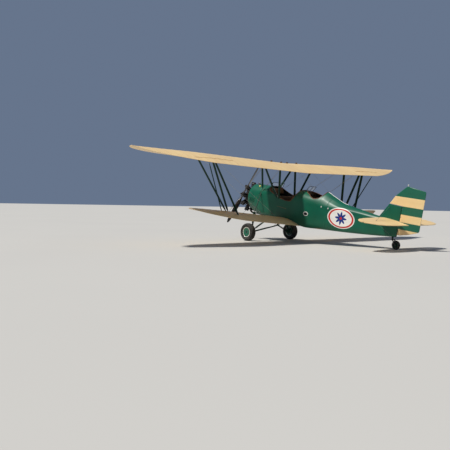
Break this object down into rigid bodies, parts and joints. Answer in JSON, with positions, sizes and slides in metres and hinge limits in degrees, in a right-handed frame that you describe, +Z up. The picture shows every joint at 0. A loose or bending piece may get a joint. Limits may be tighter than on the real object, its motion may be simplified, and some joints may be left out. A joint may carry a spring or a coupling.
{
  "type": "open cockpit biplane",
  "caption": "Open-cockpit passenger biplane with a radial engine, N-struts, split-axle gear and a tail wheel, parked tail down.",
  "frame": {"origin": "middle of the outline on the ground", "axes": "+X towards the nose along the ground, +Y to port, +Z up; the aircraft stands tail down on its wheels"},
  "size_m": [8.281, 13.705, 3.0755],
  "materials": {
    "green_fabric": "glossy green dope on fabric over a tube frame",
    "cowl_metal": "glossy green paint on sheet metal",
    "cream_fabric": "cream dope on fabric over ribs",
    "strut_paint": "dark green paint on streamlined and round tube",
    "engine_black": "black enamel with oil film",
    "propeller_finish": "dark varnish",
    "stay_steel": "bare stainless stay wire",
    "wheel_disc": "green disc with a light rim ring",
    "tyre_rubber": "worn black rubber",
    "fork_black": "black paint",
    "seat_leather": "brown padded leather",
    "screen_glass": "clear sheet"
  },
  "bodies": {
    "airframe": {"fuselage_cockpits": "green_fabric", "fuselage_pilot_bay": "green_fabric", "fuselage_tail": "green_fabric", "fin": "green_fabric", "nose_cowl": "cowl_metal", "upper_wing_centre": "cream_fabric", "stabiliser": "cream_fabric", "upper_wing_port": "cream_fabric", "upper_wing_starboard": "cream_fabric", "lower_wing_port": "cream_fabric", "lower_wing_starboard": "cream_fabric", "axle": "strut_paint", "interplane_strut_front_port": "strut_paint", "interplane_strut_front_starboard": "strut_paint", "interplane_strut_diagonal_port": "strut_paint", "interplane_strut_diagonal_starboard": "strut_paint", "interplane_strut_rear_port": "strut_paint", "interplane_strut_rear_starboard": "strut_paint", "cabane_strut_front_port": "strut_paint", "cabane_strut_front_starboard": "strut_paint", "cabane_strut_diagonal_port": "strut_paint", "cabane_strut_diagonal_starboard": "strut_paint", "cabane_strut_rear_port": "strut_paint", "cabane_strut_rear_starboard": "strut_paint", "shock_leg_port": "strut_paint", "shock_leg_starboard": "strut_paint", "drag_strut_port": "strut_paint", "drag_strut_starboard": "strut_paint", "outrigger_port": "strut_paint", "outrigger_starboard": "strut_paint", "engine": "engine_black", "flying_wire_front_port": "stay_steel", "flying_wire_front_starboard": "stay_steel", "flying_wire_rear_port": "stay_steel", "flying_wire_rear_starboard": "stay_steel", "landing_wire_port": "stay_steel", "landing_wire_starboard": "stay_steel", "front_bench": "seat_leather", "rear_bench": "seat_leather", "pilot_seat": "seat_leather", "front_windscreen": "screen_glass", "pilot_windscreen": "screen_glass"},
    "propeller": {"propeller": "propeller_finish"},
    "wheel_port": {"tyre_port": "tyre_rubber", "wheel_port": "wheel_disc"},
    "wheel_starboard": {"tyre_starboard": "tyre_rubber", "wheel_starboard": "wheel_disc"},
    "tail_swivel": {"tail_fork": "fork_black"},
    "tail_wheel": {"tail_wheel": "tyre_rubber"},
    "rudder": {"rudder": "cream_fabric"},
    "elevator": {"elevator_port": "cream_fabric", "elevator_starboard": "cream_fabric"},
    "aileron_port": {"aileron_port": "cream_fabric"},
    "aileron_starboard": {"aileron_starboard": "cream_fabric"},
    "push_rod_port": {"push_rod_port": "strut_paint"},
    "push_rod_starboard": {"push_rod_starboard": "strut_paint"}
  },
  "joints": [
    {"name": "propeller_spin", "type": "hinge", "parent": "airframe", "child": "propeller", "pos_m": [3.9172, 0, 1.766], "axis": [0.982, 0, 0.1889], "continuous": true},
    {"name": "wheel_port_spin", "type": "hinge", "parent": "airframe", "child": "wheel_port", "pos_m": [2.3808, 1.17, 0.33], "axis": [0, 1, 0], "continuous": true},
    {"name": "wheel_starboard_spin", "type": "hinge", "parent": "airframe", "child": "wheel_starboard", "pos_m": [2.3808, -1.17, 0.33], "axis": [0, 1, 0], "continuous": true},
    {"name": "tail_swivel_turn", "type": "hinge", "parent": "airframe", "child": "tail_swivel", "pos_m": [-3.0192, 0, 0.33], "axis": [0, 0, 1], "continuous": true},
    {"name": "tail_wheel_spin", "type": "hinge", "parent": "tail_swivel", "child": "tail_wheel", "pos_m": [-3.1492, 0, 0.145], "axis": [0, 1, 0], "continuous": true},
    {"name": "rudder_hinge", "type": "hinge", "parent": "airframe", "child": "rudder", "pos_m": [-3.2726, 0, 0.9739], "axis": [-0.1889, 0, 0.982], "range_deg": [-25, 25]},
    {"name": "elevator_hinge", "type": "hinge", "parent": "airframe", "child": "elevator", "pos_m": [-3.2061, 0, 0.893], "axis": [0, 1, 0], "range_deg": [-22, 28]},
    {"name": "aileron_port_hinge", "type": "hinge", "parent": "airframe", "child": "aileron_port", "pos_m": [0.9111, 0.9486, 2.677], "axis": [-0.0044, 0.9997, 0.0231], "range_deg": [-22, 22]},
    {"name": "aileron_starboard_hinge", "type": "hinge", "parent": "airframe", "child": "aileron_starboard", "pos_m": [0.9111, -0.9486, 2.677], "axis": [0.0044, 0.9997, -0.0231], "range_deg": [-23, 23]},
    {"name": "push_rod_port_slide", "type": "slide", "parent": "airframe", "child": "push_rod_port", "axis": [-0.1888, -0.0235, 0.9817], "range_m": [-0.042, 0.042]},
    {"name": "push_rod_starboard_slide", "type": "slide", "parent": "airframe", "child": "push_rod_starboard", "axis": [-0.1888, 0.0235, 0.9817], "range_m": [-0.042, 0.042]}
  ],
  "couplings": [
    {"joint": "aileron_starboard_hinge", "follows": "aileron_port_hinge", "ratio": -1},
    {"joint": "push_rod_port_slide", "follows": "aileron_port_hinge", "m_per_rad": 0.105},
    {"joint": "push_rod_starboard_slide", "follows": "aileron_port_hinge", "m_per_rad": -0.105}
  ]
}
